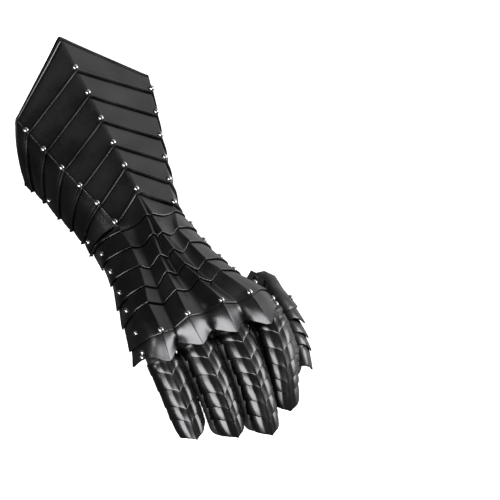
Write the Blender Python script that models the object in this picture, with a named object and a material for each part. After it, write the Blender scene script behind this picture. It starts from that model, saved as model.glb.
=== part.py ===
# Armoured gauntlet for a right hand: blackened steel plates over a leather glove.
# It lies palm down. +X is the thumb side, +Y runs up the forearm, +Z is up.
import math

import bpy
import numpy as np

# Driving sizes, in metres
CUFF_LENGTH = 0.138
MOUTH_HALF = 0.058
CUFF_DEPTH = 0.052
WRIST_LENGTH = 0.0246
BACK_LENGTH = 0.091
KNUCKLE_HALF = 0.040
KNUCKLE_RISE = 0.022
FINGER_LENGTH = 0.089
STEEL = 0.0012
LAP_STEP = 0.00155
LEATHER = 0.0018
RIVET_RADIUS = 0.0024
RIVET_HEIGHT = 0.0018
RIVET_SINK = 0.0008

# How far each plate runs on under its neighbour, as a share of one seam spacing
CUFF_LAP_BACK = 0.22
CUFF_LAP_FRONT = 0.21
HAND_LAP = 0.22

# Seams of the cuff from the mouth to the wrist.
# ridge_y is a share of CUFF_LENGTH. Places across, and how far the edge rivet lies behind the ridge,
# are shares of MOUTH_HALF. Heights, and how far the low edge lies behind the rivet, are shares of CUFF_DEPTH.
# ridge_y, ridge_z, edge_x, edge_back, edge_z, low_x, low_back, low_z
CUFF_SEAMS = [
    (1.010, 0.000, 0.985, 0.825, -0.235, 0.965, 0.730, -0.990),
    (0.800, 0.000, 0.920, 0.535, -0.235, 0.905, 0.600, -0.960),
    (0.635, 0.000, 0.820, 0.481, -0.217, 0.840, 0.454, -0.915),
    (0.466, 0.000, 0.717, 0.419, -0.195, 0.775, 0.419, -0.860),
    (0.305, 0.000, 0.613, 0.366, -0.160, 0.715, 0.321, -0.800),
    (0.157, 0.000, 0.515, 0.336, -0.133, 0.660, 0.228, -0.750),
    (0.000, 0.000, 0.420, 0.305, -0.106, 0.635, 0.112, -0.715),
]
SIDE_BULGE = 0.0022
TURN_IN = 0.010
TURN_DOWN = 0.0012
RIDGE_FLAT = 0.0006

# Plate edges across the back of the hand, from the wrist to the finger roots.
# Each point is across, along, up: shares of KNUCKLE_HALF, BACK_LENGTH and KNUCKLE_RISE, along from the wrist.
# little_low, little_side, little_top, ridge_1, ridge_2, ridge_3, ridge_4, thumb_top, thumb_side, thumb_low
HAND_EDGES = [
    [(-0.980, 0.026, -1.50), (-0.960, 0.026, -0.91), (-0.800, 0.026, -0.50), (-0.590, 0.026, -0.27),
     (-0.060, -0.013, 0.05), (0.050, 0.000, 0.07), (0.580, 0.011, -0.26),
     (0.720, 0.016, -0.55), (0.855, 0.026, -0.91), (0.910, 0.026, -1.55)],
    [(-1.020, 0.211, -1.12), (-1.030, 0.204, -0.70), (-0.860, 0.204, -0.36), (-0.600, 0.204, -0.14),
     (-0.150, 0.185, 0.20), (0.020, 0.204, 0.26), (0.450, 0.178, -0.09),
     (0.690, 0.181, -0.34), (0.910, 0.191, -0.80), (0.975, 0.204, -1.32)],
    [(-1.080, 0.402, -0.86), (-1.085, 0.402, -0.47), (-0.930, 0.402, -0.16), (-0.675, 0.402, 0.05),
     (-0.265, 0.405, 0.41), (0.015, 0.394, 0.45), (0.490, 0.347, 0.09),
     (0.770, 0.356, -0.23), (1.015, 0.376, -0.77), (1.085, 0.389, -1.27)],
    [(-1.180, 0.630, -0.90), (-1.150, 0.620, -0.39), (-1.010, 0.609, 0.02), (-0.800, 0.604, 0.23),
     (-0.325, 0.576, 0.55), (0.050, 0.566, 0.60), (0.565, 0.566, 0.34),
     (0.880, 0.566, 0.00), (1.130, 0.576, -0.57), (1.205, 0.587, -1.09)],
    [(-1.250, 0.798, -0.91), (-1.210, 0.785, -0.27), (-1.090, 0.771, 0.16), (-0.925, 0.765, 0.37),
     (-0.365, 0.771, 0.705), (0.150, 0.741, 0.75), (0.700, 0.708, 0.48),
     (0.990, 0.719, 0.16), (1.215, 0.729, -0.34), (1.295, 0.741, -0.91)],
    [(-1.325, 1.010, -0.91), (-1.275, 1.045, -0.18), (-1.160, 1.065, 0.34), (-1.010, 1.080, 0.60),
     (-0.430, 1.040, 0.90), (0.305, 1.035, 1.00), (0.970, 1.035, 0.80),
     (1.250, 0.985, 0.45), (1.490, 0.960, -0.09), (1.590, 0.930, -0.55)],
    [(-1.360, 1.137, -1.09), (-1.325, 1.167, -0.36), (-1.225, 1.213, 0.05), (-1.050, 1.305, 0.27),
     (-0.340, 1.282, 0.55), (0.375, 1.282, 0.64), (1.150, 1.292, 0.41),
     (1.375, 1.167, 0.14), (1.575, 1.114, -0.27), (1.675, 1.092, -0.64)],
]
# Depth of the hollows between the ridges and how far their edges run past the ridges, in metres
HOLLOW_DEPTH = [0.0012, 0.0022, 0.0032, 0.0038, 0.0042, 0.0046, 0.0050]
EDGE_RUN = [0.0020, 0.0030, 0.0045, 0.0055, 0.0045, 0.0010, -0.0135]
# How far each of those hollows is a plain fold, from 0, round, to 1, folded
HOLLOW_FOLD = [0.0, 0.0, 0.3, 0.5, 0.6, 0.7, 1.0]

# Fingers: root on the keel line as across, along and up, turn to the side, roll to the little side, bend at
# the root and at the tip in degrees, half width at the root and at the tip as shares of KNUCKLE_HALF, and
# the points of the plates along the keel as shares of FINGER_LENGTH
FINGERS = [
    ("little", (-1.060, 1.301, 0.140), 7, 13, 20, 36, 0.280, 0.252, [0.103, 0.262, 0.424, 0.551, 0.703]),
    ("ring", (-0.340, 1.279, 0.477), 9, 7, 17, 45, 0.300, 0.266, [0.118, 0.287, 0.461, 0.600, 0.725, 0.867]),
    ("middle", (0.455, 1.279, 0.540), 6, 7, 15, 52, 0.298, 0.262,
     [0.090, 0.250, 0.393, 0.512, 0.656, 0.805, 0.955]),
    ("index", (1.300, 1.290, 0.290), -1, 5, 22, 60, 0.310, 0.270, [0.080, 0.235, 0.385, 0.525, 0.640, 0.790]),
]
# Half section of a finger plate from the keel outwards: across, down, as shares of the half width
SCALE_SECTION = [(0.00, 0.00), (0.42, 0.17), (0.76, 0.46), (1.00, 1.00)]
# Edge of a finger plate at the same places, as shares of the point length
SCALE_EDGE = [1.00, 0.28, 0.01, 0.14]
SCALE_POINT = 0.0062
CAP_POINT = 0.0110
CAP_NARROW = 0.62
SCALE_LAP = 0.0042
# How much of a plate's own up direction its thickness follows
SCALE_LEAN = 1.15
SCALE_STEPS = 2
BELL_STEPS = 6
PLATE_DROP = 0.0022
FIRST_SCALE = -0.0055
BELL_START = -0.002
BELL_LIFT = 0.0005
BELL_LIFT_END = 0.0030
BELL_UNDER = 0.0017
LEAF_GAP = 0.0006
LEAF_LIFT = 0.0005
PIN_OUT = 0.0004
CORNER_RUN = 1.35

# Keel line of the thumb armour: its aim from the hinge, then its points, as across, along and up
THUMB_LINE = [
    (1.800, 0.851, -0.773), (2.100, 0.960, -0.795), (2.200, 1.092, -0.932), (2.212, 1.213, -1.045),
    (2.208, 1.345, -1.182), (2.188, 1.455, -1.341), (2.087, 1.598, -1.682),
]
THUMB_UP = (0.85, 0.0, 0.53)
THUMB_DROP = 0.0042
# Points of the thumb's plates and the end of its bell as shares of the keel line
THUMB_POINTS = [0.610, 0.735, 0.842, 1.000]
BELL_END = 0.440
THUMB_FIRST = 0.350
THUMB_HALF = (0.320, 0.270)
BELL_AWAY = 0.0062
BELL_RIVET = 0.0065
# Bell shaped plate over the root of the thumb: place along it, half width as a share of KNUCKLE_HALF,
# share of its full depth
BELL_WIDTHS = [(0.0, 0.190, 0.60), (0.35, 0.250, 0.90), (0.7, 0.300, 1.00), (1.0, 0.335, 1.00)]
BELL_SECTION = [(0.00, 0.00), (0.45, 0.12), (0.82, 0.45), (1.00, 0.95)]

# Wrist of the glove: place along from the last cuff rivet as a share of CUFF_LENGTH,
# half width as a share of MOUTH_HALF, height of its middle and half height as shares of CUFF_DEPTH
GLOVE_WRIST = [
    (0.290, 0.569, -0.442, 0.317),
    (0.000, 0.491, -0.375, 0.288),
    (-0.196, 0.500, -0.375, 0.288),
]
# Hand of the glove up to the finger roots, in shares of the hand's sizes
# along, across, up, half_width, half_height
GLOVE_HAND = [
    (0.389, 0.000, -0.818, 0.887, 0.705),
    (0.774, 0.025, -0.386, 1.038, 0.705),
    (1.026, 0.075, -0.068, 1.137, 0.614),
    (1.150, 0.050, -0.360, 1.140, 0.385),
]
GLOVE_POWER = 2.5
GLOVE_SIDES = 16
FINGER_SIDES = 10
FINGER_RADIUS = 0.92
FINGER_DEPTH = 1.06
FINGER_BACK = 0.80
TIP_REACH = 0.0000
# Leather of the thumb between the palm and its armour: across, along, up, radius as a share of KNUCKLE_HALF
THUMB_ROOT = [(0.350, 0.235, -1.068, 0.287), (0.925, 0.560, -1.600, 0.295), (1.430, 0.830, -1.850, 0.275)]
FINGER_JOIN = 0.0120
HOLLOW_JOIN = 0.0155
THUMB_JOIN = 0.0300
OPEN_END = 0.002

# Straps under the forearm: name, seam places of their edges
STRAPS = [("strap_forearm", 2.15, 2.85), ("strap_wrist", 5.15, 5.85)]
STRAP_LAMES = (3, 6)
STRAP_THICK = 0.0020
STRAP_TURN = 1.2
GAP = 0.00035

# Hinge of the thumb
HINGE_PLACE = 11.45
HINGE_HALF = 0.0065
HINGE_LEAF = 0.0095
HINGE_OUT = 0.0032
BARREL_RADIUS = 0.0024
BORE_RADIUS = 0.0013
PIN_RADIUS = 0.0010


def clear_scene():
    for obj in list(bpy.data.objects):
        bpy.data.objects.remove(obj, do_unlink=True)


def unit(v):
    v = np.asarray(v, float)
    return v / np.linalg.norm(v)


def material(name, color, metallic, rough):
    mat = bpy.data.materials.get(name) or bpy.data.materials.new(name)
    mat.use_nodes = True
    node = mat.node_tree.nodes["Principled BSDF"]
    node.inputs["Base Color"].default_value = (*color, 1.0)
    node.inputs["Metallic"].default_value = metallic
    node.inputs["Roughness"].default_value = rough
    return mat


def steel_for(name):
    return material("steel_" + name, (0.035, 0.035, 0.038), 1.0, 0.25)


def leather_for(name):
    return material("leather_" + name, (0.012, 0.012, 0.012), 0.0, 0.5)


def mesh_object(name, verts, faces, mat, smooth=False):
    mesh = bpy.data.meshes.new(name)
    mesh.from_pydata([tuple(float(a) for a in v) for v in verts], [], faces)
    mesh.update()
    obj = bpy.data.objects.new(name, mesh)
    bpy.context.collection.objects.link(obj)
    if mat is not None:
        mesh.materials.append(mat)
    for poly in mesh.polygons:
        poly.use_smooth = smooth
    return obj


def boolean(obj, cutter, operation):
    mod = obj.modifiers.new(operation.lower(), "BOOLEAN")
    mod.operation = operation
    mod.solver = "EXACT"
    mod.object = cutter
    cutter.hide_render = True
    cutter.display_type = "WIRE"


def closed_sheet(outer, inner):
    """Faces of a closed plate between two grids of points of the same size."""
    rows, cols = outer.shape[:2]
    count = rows * cols
    verts = list(outer.reshape(-1, 3)) + list(inner.reshape(-1, 3))
    faces = []

    def idx(r, c):
        return r * cols + c

    for r in range(rows - 1):
        for c in range(cols - 1):
            a, b, d, e = idx(r, c), idx(r, c + 1), idx(r + 1, c + 1), idx(r + 1, c)
            faces.append((a, d, b))
            faces.append((a, e, d))
            faces.append((count + a, count + b, count + d))
            faces.append((count + a, count + d, count + e))
    rim = [idx(0, c) for c in range(cols)]
    rim += [idx(r, cols - 1) for r in range(1, rows)]
    rim += [idx(rows - 1, c) for c in range(cols - 2, -1, -1)]
    rim += [idx(r, 0) for r in range(rows - 2, 0, -1)]
    for i, a in enumerate(rim):
        b = rim[(i + 1) % len(rim)]
        faces.append((a, count + b, count + a))
        faces.append((a, b, count + b))
    return verts, faces


def dome(name, centre, normal, radius=RIVET_RADIUS, height=RIVET_HEIGHT, sides=7):
    """A rivet head that is joined to its plate."""
    n = unit(normal)
    u = unit(np.cross(n, (0.31, 0.87, 0.41)))
    v = np.cross(n, u)
    rings = [(1.0, -RIVET_SINK), (1.0, 0.0002), (0.72, height * 0.66)]
    verts = []
    for share, lift in rings:
        for k in range(sides):
            ang = 2 * math.pi * k / sides
            verts.append(centre + n * lift + radius * share * (u * math.cos(ang) + v * math.sin(ang)))
    verts.append(centre + n * height)
    faces = [tuple(range(sides - 1, -1, -1))]
    for ring in range(len(rings) - 1):
        for k in range(sides):
            a, b = ring * sides + k, ring * sides + (k + 1) % sides
            faces.append((a, b, b + sides, a + sides))
    top = len(verts) - 1
    last = (len(rings) - 1) * sides
    for k in range(sides):
        faces.append((last + k, last + (k + 1) % sides, top))
    return mesh_object(name, verts, faces, None)


def join_rivets(obj, spots):
    for i, (centre, normal) in enumerate(spots):
        boolean(obj, dome(obj.name + "_head_%d" % i, centre, normal), "UNION")


# The base surface of the whole back of the armour: one row of points for each seam

def cuff_row(k):
    ridge_y, ridge_z, edge_x, edge_back, edge_z, low_x, low_back, low_z = CUFF_SEAMS[k]
    ridge = np.array((0.0, ridge_y * CUFF_LENGTH, ridge_z * CUFF_DEPTH))
    half = []
    for side in (-1, 1):
        edge = np.array((side * edge_x * MOUTH_HALF, ridge[1] - edge_back * MOUTH_HALF, edge_z * CUFF_DEPTH))
        low = np.array((side * low_x * MOUTH_HALF, edge[1] - low_back * CUFF_DEPTH, low_z * CUFF_DEPTH))
        out = np.array((side * SIDE_BULGE, 0.0, 0.0))
        turn = low + np.array((-side * TURN_IN, 0.0, -TURN_DOWN))
        wall = [edge + (low - edge) * down + out * bulge for down, bulge in ((0.72, 0.9), (0.34, 1.0))]
        half.append([turn, low] + wall + [edge])
    left, right = half
    flat = np.array((RIDGE_FLAT, 0.0, 0.0))
    row = list(left)
    row += [left[-1] + (ridge - left[-1]) * f for f in (0.25, 0.5, 0.75)]
    row += [ridge - flat, ridge, ridge + flat]
    row += [right[-1] + (ridge - right[-1]) * f for f in (0.75, 0.5, 0.25)]
    row += right[::-1]
    return np.array(row)


def hollow(a, b, depth, run, fold, shares):
    """Points between two ridges, sunk in the middle and run on towards the fingers."""
    points = []
    for f in shares:
        sag = (1.0 - fold) * math.sin(math.pi * f) + fold * (1.0 - abs(2 * f - 1))
        points.append(a + (b - a) * f + np.array((0.0, -run * sag, -depth * sag)))
    return points


def hand_place(across, along, up):
    """A point on the hand from its shares of the hand's sizes."""
    return np.array((across * KNUCKLE_HALF, -WRIST_LENGTH - along * BACK_LENGTH, up * KNUCKLE_RISE))


def hand_row(k):
    p = [hand_place(*q) for q in HAND_EDGES[k]]
    depth, run, fold = HOLLOW_DEPTH[k], EDGE_RUN[k], HOLLOW_FOLD[k]
    thirds = (0.25, 0.5, 0.75)
    left_turn = p[0] + np.array((TURN_IN * 0.5, 0.0, -TURN_DOWN))
    right_turn = p[9] + np.array((-TURN_IN * 0.5, 0.0, -TURN_DOWN))
    row = [left_turn] + p[0:4]
    row += hollow(p[3], p[4], depth, run, fold, thirds)
    row += [p[4]] + hollow(p[4], p[5], depth * 0.8, run * 0.8, fold, (0.5,)) + [p[5]]
    row += hollow(p[5], p[6], depth, run, fold, thirds)
    row += [p[6]] + p[7:10] + [right_turn]
    return np.array(row)


ROWS = np.array([cuff_row(k) for k in range(7)] + [hand_row(k) for k in range(7)])
COLUMNS = ROWS.shape[1]
RIDGE_COLUMN = 9
LITTLE_EDGE, THUMB_EDGE = 4, 14
WHOLE = list(range(COLUMNS))
WITHOUT_TURN = WHOLE[1:-1]
CUFF_COLUMNS = [0, 1, 2, 3, 4, 6, 9, 12, 14, 15, 16, 17, 18]


def base_row(s):
    k = int(min(max(math.floor(s), 0), len(ROWS) - 2))
    return ROWS[k] + (ROWS[k + 1] - ROWS[k]) * (s - k)


def surface(s, columns):
    """Base points at seam place s and their outward normals, lengthened at the creases."""
    here = base_row(s)[columns]
    along = base_row(s + 0.12)[columns] - base_row(s - 0.12)[columns]
    count = len(columns)
    normals = np.zeros((count, 3))
    for i in range(count):
        sides = []
        for j in (i - 1, i):
            if 0 <= j < count - 1:
                sides.append(unit(np.cross(here[j + 1] - here[j], -(along[j] + along[j + 1]))))
        mean = unit(sum(sides))
        normals[i] = mean / max(float(np.dot(mean, sides[0])), 0.5)
    return here, normals


def band(name, start, end, columns, rivets, low=None):
    """One plate between two places along the surface; rivets are (place, column)."""
    low = start if low is None else low

    def lift(s):
        return LAP_STEP * (s - low)

    stops = [start, end]
    for k in range(int(math.floor(start)), int(math.ceil(end)) + 1):
        for s in (k - HAND_LAP, float(k), k + CUFF_LAP_FRONT):
            if start + 0.01 < s < end - 0.01 and (s <= k or k < 7):
                stops.append(s)
    stops.sort()
    outer, inner = [], []
    for s in stops:
        points, normals = surface(s, columns)
        outer.append(points + normals * (lift(s) + STEEL))
        inner.append(points + normals * lift(s))
    verts, faces = closed_sheet(np.array(outer), np.array(inner))
    obj = mesh_object(name, verts, faces, steel_for(name))
    spots = []
    for s, c in rivets:
        points, normals = surface(s, columns)
        tops = points + normals * (lift(s) + STEEL)
        i = columns.index(int(c))
        j = i if c == int(c) else i + 1
        spots.append(((tops[i] + tops[j]) / 2, unit(normals[i] + normals[j])))
    join_rivets(obj, spots)
    return obj


def build_cuff():
    for k in range(1, 7):
        start = 0.0 if k == 1 else k - 1 - CUFF_LAP_BACK
        rivets = [(float(k), c) for c in (LITTLE_EDGE, RIDGE_COLUMN, THUMB_EDGE)]
        if k in STRAP_LAMES:
            rivets += [(k - 0.5, 1.5), (k - 0.5, 16.5)]
        columns = WITHOUT_TURN if k == 6 else CUFF_COLUMNS
        band("cuff_lame_%d" % k, start, k + CUFF_LAP_FRONT, columns, rivets, k - 1 - CUFF_LAP_BACK)
    band("cuff_lame_7", 6 - CUFF_LAP_BACK, 7.0, WITHOUT_TURN, [])


def build_back():
    for k in range(5):
        start = 7 + k - HAND_LAP
        rivets = [(7.55 + k, 2), (7.55 + k, 16)]
        if k == 4:
            rivets += [(11.9, c) for c in (4, 8, 10, 14)]
        band("hand_lame_%d" % (k + 1), start, 8.0 + k, WITHOUT_TURN, rivets)
    band("knuckle_plate", 12 - HAND_LAP, 13.0, WITHOUT_TURN, [(12.45, 2), (12.8, 2), (12.45, 16), (12.8, 16)])


class Line:
    """A keel line with a side and an up direction at each place along it."""

    def __init__(self, points, ups):
        self.points = np.array(points, float)
        steps = np.linalg.norm(np.diff(self.points, axis=0), axis=1)
        self.places = np.concatenate([[0.0], np.cumsum(steps)])
        self.ups = np.array(ups, float)
        self.length = float(self.places[-1])

    def frame(self, a):
        reach = 0.004

        def at(x):
            inside = min(max(x, 0.0), self.length)
            point = np.array([np.interp(inside, self.places, self.points[:, i]) for i in range(3)])
            if x < 0.0:
                point += unit(self.points[1] - self.points[0]) * x
            if x > self.length:
                point += unit(self.points[-1] - self.points[-2]) * (x - self.length)
            return point

        forward = unit(at(a + reach) - at(a - reach))
        up = np.array([np.interp(a, self.places, self.ups[:, i]) for i in range(3)])
        side = unit(np.cross(up, forward))
        return at(a), forward, side, unit(np.cross(forward, side))


def finger_line(root, turn, roll, bend_root, bend_tip, length):
    """Bends evenly from the root to the tip."""
    turn, roll = math.radians(turn), math.radians(roll)
    side = np.array((math.cos(turn), math.sin(turn), 0.0))
    count = 24
    point = np.array(root, float)
    points, ups = [point.copy()], []
    for i in range(count + 1):
        bend = math.radians(bend_root + (bend_tip - bend_root) * i / count)
        level = math.cos(bend)
        forward = np.array((math.sin(turn) * level, -math.cos(turn) * level, -math.sin(bend)))
        up = np.array((math.sin(turn) * math.sin(bend), -math.cos(turn) * math.sin(bend), math.cos(bend)))
        ups.append(up * math.cos(roll) - side * math.sin(roll))
        if i < count:
            point = point + forward * length / count
            points.append(point.copy())
    return Line(points, ups)


def mirrored(pairs):
    return [(-x, z) for x, z in pairs[:0:-1]] + list(pairs)


def keeled_plate(name, line, start, end, point, half_at, lift_at, section, edge, narrow=1.0, rivets=(),
                 start_point=0.0, lag=0.0, deep_at=None, steps=SCALE_STEPS):
    """A plate over a finger: the edge towards the tip runs out to a point on the keel."""
    shape = mirrored(section)
    edges = edge[:0:-1] + edge
    outer, inner = [], []
    for r in range(steps + 1):
        share = r / steps
        out_row, in_row = [], []
        for (x, z), e in zip(shape, edges):
            first = start - start_point * (1.0 - e)
            a = first + (end - point * (1.0 - e) - first) * share
            centre, forward, side, up = line.frame(a)
            half = half_at(a) * (1.0 + (narrow - 1.0) * share ** 2)
            lean = unit(side * x + up * (SCALE_LEAN - abs(z)))
            deep = 1.0 if deep_at is None else deep_at(a)
            at = centre + side * (x * half) - up * (z * half * deep)
            lift = lift_at(a - first + lag * (1.0 - e))
            out_row.append(at + lean * (lift + STEEL))
            in_row.append(at + lean * lift)
        outer.append(out_row)
        inner.append(in_row)
    verts, faces = closed_sheet(np.array(outer), np.array(inner))
    obj = mesh_object(name, verts, faces, steel_for(name))
    spots = []
    for a in rivets:
        centre, forward, side, up = line.frame(a)
        spots.append((centre + up * (lift_at(a - start) + STEEL), up))
    join_rivets(obj, spots)
    return obj


def scales(name, line, points, halves, first_start):
    """The row of plates along one finger; each runs over the next one."""
    starts = [first_start] + [p - SCALE_LAP for p in points[:-1]]
    slope = LAP_STEP / min(b - a for a, b in zip(starts, starts[1:]))

    def half_at(a):
        return halves[0] + (halves[1] - halves[0]) * min(max(a / line.length, 0.0), 1.0)

    for i, (start, end) in enumerate(zip(starts, points)):
        cap = i == len(points) - 1

        def lift_at(run):
            return slope * run

        label = "%s_cap" % name if cap else "%s_scale_%d" % (name, i + 1)
        keeled_plate(label, line, start, end, CAP_POINT if cap else SCALE_POINT, half_at, lift_at,
                     SCALE_SECTION, SCALE_EDGE, CAP_NARROW if cap else 1.0, (), SCALE_POINT if i else 0.0,
                     0.0 if i else SCALE_POINT)


def tube(name, rings, sides, mat=None):
    """A closed tube through rings of (centre, side, up, half width, half height, power)."""
    verts, faces = [], []
    for centre, side, up, rx, rz, power in rings:
        for k in range(sides):
            ang = 2 * math.pi * k / sides
            c, s = math.cos(ang), math.sin(ang)
            x = math.copysign(abs(c) ** (2 / power), c) * rx
            z = math.copysign(abs(s) ** (2 / power), s) * rz
            verts.append(centre + side * x + up * z)
    count = len(rings)
    for i in range(count - 1):
        for k in range(sides):
            a, b = i * sides + k, i * sides + (k + 1) % sides
            faces.append((a, b, b + sides, a + sides))
    faces.append(tuple(range(sides - 1, -1, -1)))
    faces.append(tuple(range((count - 1) * sides, count * sides)))
    volume = 0.0
    for face in faces:
        for i in range(1, len(face) - 1):
            volume += np.dot(verts[face[0]], np.cross(verts[face[i]], verts[face[i + 1]]))
    if volume < 0:
        faces = [tuple(reversed(f)) for f in faces]
    return mesh_object(name, verts, faces, mat, smooth=True)


def finger_rings(line, halves, thin, back):
    """Rings of a glove finger under its keel line, with a rounded tip."""
    rings = []
    end = line.length + TIP_REACH - thin
    if back > 0:
        centre, forward, side, up = line.frame(0.0)
        level = unit(forward * (1.0, 1.0, 0.0))
        small = halves[0] * FINGER_RADIUS * FINGER_BACK - thin
        centre = centre - up * (halves[0] * FINGER_DEPTH) - level * back
        rings.append((centre, side, np.array((0.0, 0.0, 1.0)), small, small, 2.0))
    first = max(-back, 0.0)
    for i in range(6):
        a = first + (end - halves[1] - first) * i / 5
        half = halves[0] + (halves[1] - halves[0]) * min(max(a / line.length, 0.0), 1.0)
        centre, forward, side, up = line.frame(a)
        radius = half * FINGER_RADIUS - thin
        rings.append((centre - up * (half * FINGER_DEPTH), side, up, radius, radius, 2.0))
    base = rings[-1]
    centre, forward, side, up = line.frame(end - halves[1])
    for ang in (35, 62, 80):
        reach = base[3] * 1.05 * math.sin(math.radians(ang))
        small = base[3] * math.cos(math.radians(ang))
        rings.append((base[0] + forward * reach, side, up, small, small, 2.0))
    return rings


def hand_rings(thin, open_more):
    sections = [(np.array((0.0, y * CUFF_LENGTH, up * CUFF_DEPTH)), wide * MOUTH_HALF, high * CUFF_DEPTH)
                for y, wide, up, high in GLOVE_WRIST]
    sections += [(hand_place(across, along, up), wide * KNUCKLE_HALF, high * KNUCKLE_RISE)
                 for along, across, up, wide, high in GLOVE_HAND]
    sections[0][0][1] += open_more
    sections[-1][0][1] += thin
    side, up = np.array((1.0, 0.0, 0.0)), np.array((0.0, 0.0, 1.0))
    return [(centre, side, up, wide - thin, high - thin, GLOVE_POWER) for centre, wide, high in sections]


def thumb_halves():
    return THUMB_HALF[0] * KNUCKLE_HALF, THUMB_HALF[1] * KNUCKLE_HALF


def thumb_rings(line, thin):
    rings = []
    tail = finger_rings(line, thumb_halves(), thin, -THUMB_JOIN)
    side, up = tail[0][1], tail[0][2]
    for across, along, height, radius in THUMB_ROOT:
        inner = radius * KNUCKLE_HALF - thin
        rings.append((hand_place(across, along, height), side, up, inner, inner, 2.0))
    return rings + tail


def build_glove(lines, thumb):
    """The hand of the glove is one tube, and each finger and the thumb is a tube of its own against it."""
    fingers = [(n, finger_rings(line, h, 0.0, FINGER_JOIN), finger_rings(line, h, LEATHER, HOLLOW_JOIN))
               for n, line, h in lines]
    fingers.append(("thumb", thumb_rings(thumb, 0.0), thumb_rings(thumb, LEATHER)))
    hand = tube("glove_hand", hand_rings(0.0, 0.0), GLOVE_SIDES, leather_for("glove_hand"))
    boolean(hand, tube("hollow_hand", hand_rings(LEATHER, OPEN_END), GLOVE_SIDES), "DIFFERENCE")
    for name, outer, inner in fingers:
        boolean(hand, tube("window_" + name, inner, FINGER_SIDES), "DIFFERENCE")
        finger = tube("glove_" + name, outer, FINGER_SIDES, leather_for("glove_" + name))
        boolean(finger, tube("hollow_" + name, inner, FINGER_SIDES), "DIFFERENCE")
        boolean(finger, tube("seat_" + name, hand_rings(-GAP, 0.0), GLOVE_SIDES), "DIFFERENCE")


def build_straps():
    for name, start, end in STRAPS:
        outer, inner = [], []
        for s in (start, end):
            points, normals = surface(s, WHOLE)
            inwards = np.array((TURN_IN, 0.0, -TURN_DOWN)) * STRAP_TURN
            row = [points[2], points[1], points[1] + inwards]
            row += [points[17] + inwards * (-1, 1, 1), points[17], points[16]]
            down = np.array((0.0, 0.0, -1.0))
            corners = [unit(normals[i] + down) * CORNER_RUN for i in (2, 16)]
            aims = [normals[2], corners[0], down, down, corners[1], normals[16]]
            outer.append([p - n * GAP for p, n in zip(row, aims)])
            inner.append([p - n * (GAP + STRAP_THICK) for p, n in zip(row, aims)])
        verts, faces = closed_sheet(np.array(inner), np.array(outer))
        mesh_object(name, verts, faces, leather_for(name))


def box(name, centre, axes, sizes, mat):
    """A block with its own axes; sizes are its half lengths."""
    verts = []
    for i in (-1, 1):
        for j in (-1, 1):
            for k in (-1, 1):
                steps = [axis * size * way for axis, size, way in zip(axes, sizes, (i, j, k))]
                verts.append(centre + sum(steps))
    faces = [(0, 1, 3, 2), (4, 6, 7, 5), (0, 4, 5, 1), (2, 3, 7, 6), (0, 2, 6, 4), (1, 5, 7, 3)]
    if np.dot(np.cross(axes[0], axes[1]), axes[2]) < 0:
        faces = [tuple(reversed(f)) for f in faces]
    return mesh_object(name, verts, faces, mat)


def rod(name, centre, axis, half, radius, mat=None, sides=12):
    side = unit(np.cross(axis, (0.2, 0.3, 0.9)))
    up = np.cross(side, axis)
    rings = [(centre + axis * half * way, side, up, radius, radius, 2.0) for way in (-1, 1)]
    return tube(name, rings, sides, mat)


def hinge_frame():
    """Centre of the pin, its axis, and the way down and out from the plate that carries the hinge."""
    points, normals = surface(HINGE_PLACE, WITHOUT_TURN)
    low, high = points[-1], points[-2]
    down = unit(low - high)
    before, after = base_row(HINGE_PLACE - 0.3)[17], base_row(HINGE_PLACE + 0.3)[17]
    normal = unit(np.cross(down, unit(after - before)))
    if normal[0] < 0:
        normal = -normal
    axis = unit(np.cross(normal, down))
    lift = LAP_STEP * (HINGE_PLACE - 11 + HAND_LAP) + STEEL + GAP + LEAF_LIFT
    centre = low + down * HINGE_OUT + normal * (lift + STEEL / 2)
    aim = hand_place(*THUMB_LINE[0]) - centre
    out = unit(aim - axis * float(np.dot(aim, axis)))
    rise = unit(np.cross(axis, out))
    if rise[2] < 0:
        rise = -rise
    return centre, axis, down, normal, out, rise


def build_hinge():
    """Two leaves with interleaved barrels on one pin, between the hand and the thumb plates."""
    centre, axis, down, normal, out, rise = hinge_frame()
    leaf = box("hinge_leaf_hand", centre - down * (HINGE_LEAF / 2 + BORE_RADIUS + LEAF_GAP),
               (axis, down, normal), (HINGE_HALF, HINGE_LEAF / 2, STEEL / 2), steel_for("hinge_leaf_hand"))
    thumb_leaf = box("hinge_leaf_thumb", centre + out * (HINGE_LEAF / 2 + BORE_RADIUS + LEAF_GAP),
                     (axis, out, rise), (HINGE_HALF, HINGE_LEAF / 2, STEEL / 2),
                     steel_for("hinge_leaf_thumb"))
    third = HINGE_HALF * 2 / 3
    for owner, places in ((leaf, (-1, 1)), (thumb_leaf, (0,))):
        other = (0,) if owner is leaf else (-1, 1)
        for i in other:
            cut = rod(owner.name + "_clear_%d" % i, centre + axis * third * i, axis, third / 2 + GAP / 2,
                      BARREL_RADIUS + GAP)
            boolean(owner, cut, "DIFFERENCE")
        for i in places:
            barrel = rod(owner.name + "_barrel_%d" % i, centre + axis * third * i, axis, third / 2 - GAP / 2,
                         BARREL_RADIUS)
            boolean(owner, barrel, "UNION")
        bore = rod(owner.name + "_bore", centre, axis, HINGE_HALF + 0.001, BORE_RADIUS)
        boolean(owner, bore, "DIFFERENCE")
    join_rivets(leaf, [(leaf_centre(leaf) + normal * STEEL / 2, normal)])
    join_rivets(thumb_leaf, [(leaf_centre(thumb_leaf) + rise * STEEL / 2, rise)])
    rod("hinge_pin", centre, axis, HINGE_HALF + PIN_OUT, PIN_RADIUS, steel_for("hinge_pin"))


def leaf_centre(obj):
    return np.mean([np.array(v.co) for v in obj.data.vertices], axis=0)


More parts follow.
